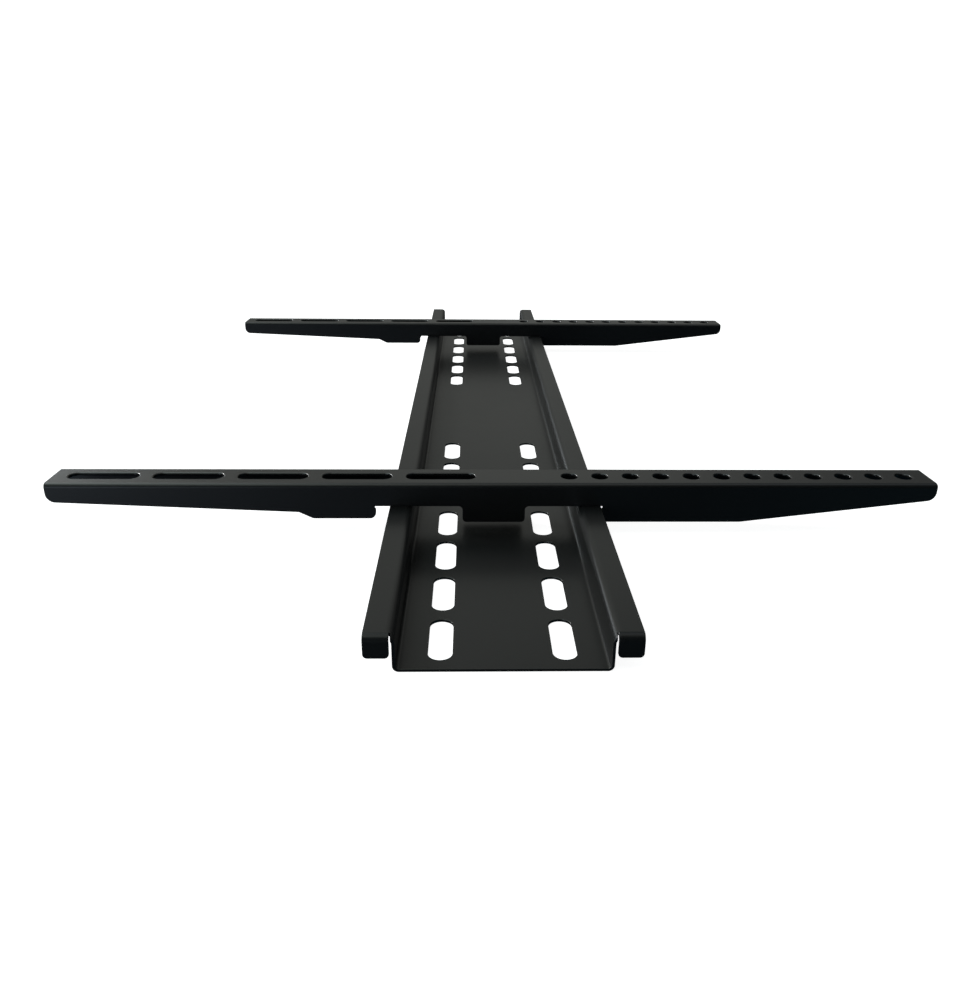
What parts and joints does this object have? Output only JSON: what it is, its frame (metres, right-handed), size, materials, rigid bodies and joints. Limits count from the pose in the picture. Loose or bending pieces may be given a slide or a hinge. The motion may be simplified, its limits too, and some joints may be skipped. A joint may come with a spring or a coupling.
{
  "type": "tv wall mount",
  "caption": "Fixed wall mount for a television: a folded hat-section wall plate with screw slots, and channel arms that hook over its lips and slide along it.",
  "frame": {"origin": "middle of the wall plate's wall face", "axes": "+X along the wall plate, +Y up the wall along the arms, +Z out from the wall towards the screen"},
  "size_m": [0.66, 0.44, 0.0273],
  "materials": {
    "plate_coat": "satin black powder coat",
    "arm_coat": "satin black powder coat"
  },
  "bodies": {
    "plate": {"wall_plate": "plate_coat"},
    "right_arm": {"right_arm": "arm_coat"},
    "left_arm": {"left_arm": "arm_coat"}
  },
  "joints": [
    {"name": "right_arm_slide", "type": "slide", "parent": "plate", "child": "right_arm", "axis": [1, 0, 0], "range_m": [-0.1871, 0.118]},
    {"name": "left_arm_slide", "type": "slide", "parent": "plate", "child": "left_arm", "axis": [-1, 0, 0], "range_m": [-0.1895, 0.1156]}
  ]
}
